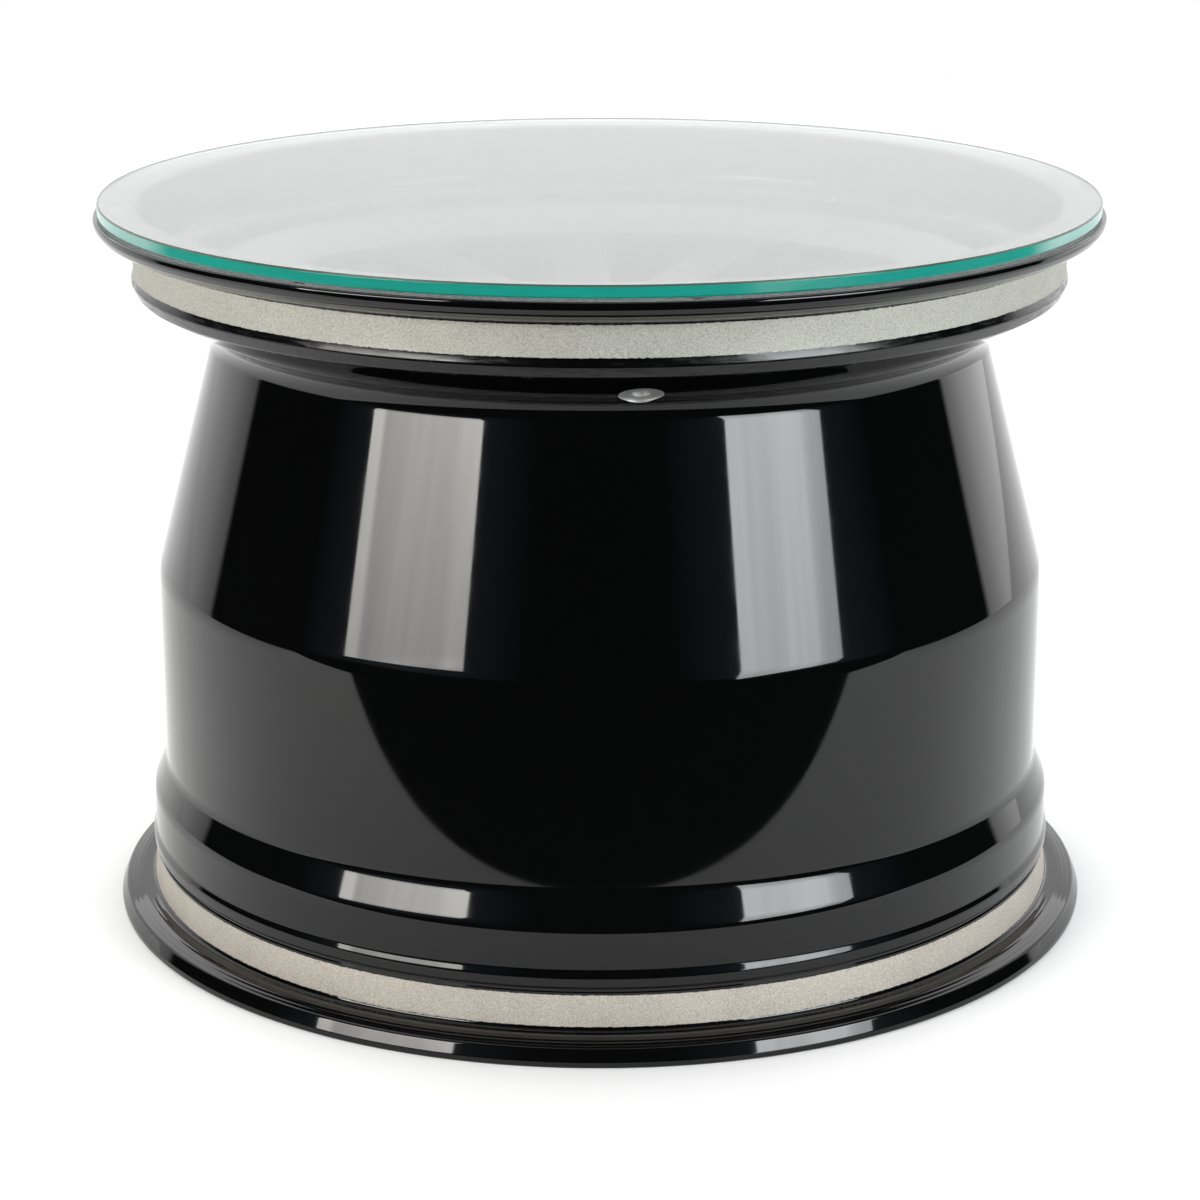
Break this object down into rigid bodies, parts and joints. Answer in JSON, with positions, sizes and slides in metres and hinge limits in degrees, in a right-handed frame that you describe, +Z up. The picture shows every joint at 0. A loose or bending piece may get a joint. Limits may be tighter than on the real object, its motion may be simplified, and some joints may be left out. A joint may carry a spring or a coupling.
{
  "type": "wheel rim side table",
  "caption": "Low round table: a deep gloss black competition wheel rim standing on its inner flange, spokes up, under a round green-edged glass top on clear bumpers.",
  "frame": {"origin": "middle of the ring on which the rim stands, on the floor", "axes": "+Z up along the wheel's axis, -Y towards the valve hole, which faces the picture's camera, +X to the right seen from there"},
  "size_m": [0.4965, 0.4966, 0.3592],
  "materials": {
    "black_rim": "gloss",
    "black_centre": "gloss",
    "seat_steel": "satin",
    "bush_steel": "satin",
    "clear_silicone": "gloss",
    "glass": "polished"
  },
  "bodies": {
    "wheel": {"rim_barrel": "black_rim", "wheel_centre": "black_centre", "nut_seat_ring": "seat_steel", "drive_bush_1": "bush_steel", "drive_bush_2": "bush_steel", "drive_bush_3": "bush_steel", "drive_bush_4": "bush_steel", "drive_bush_5": "bush_steel", "drive_bush_6": "bush_steel", "bumper_1": "clear_silicone", "bumper_2": "clear_silicone", "bumper_3": "clear_silicone", "bumper_4": "clear_silicone", "bumper_5": "clear_silicone", "bumper_6": "clear_silicone", "bumper_7": "clear_silicone", "bumper_8": "clear_silicone"},
    "glass_plate": {"glass_top": "glass"}
  },
  "joints": [
    {"name": "glass_lift", "type": "slide", "parent": "wheel", "child": "glass_plate", "axis": [0, 0, 1], "range_m": [0, 0.15]}
  ]
}
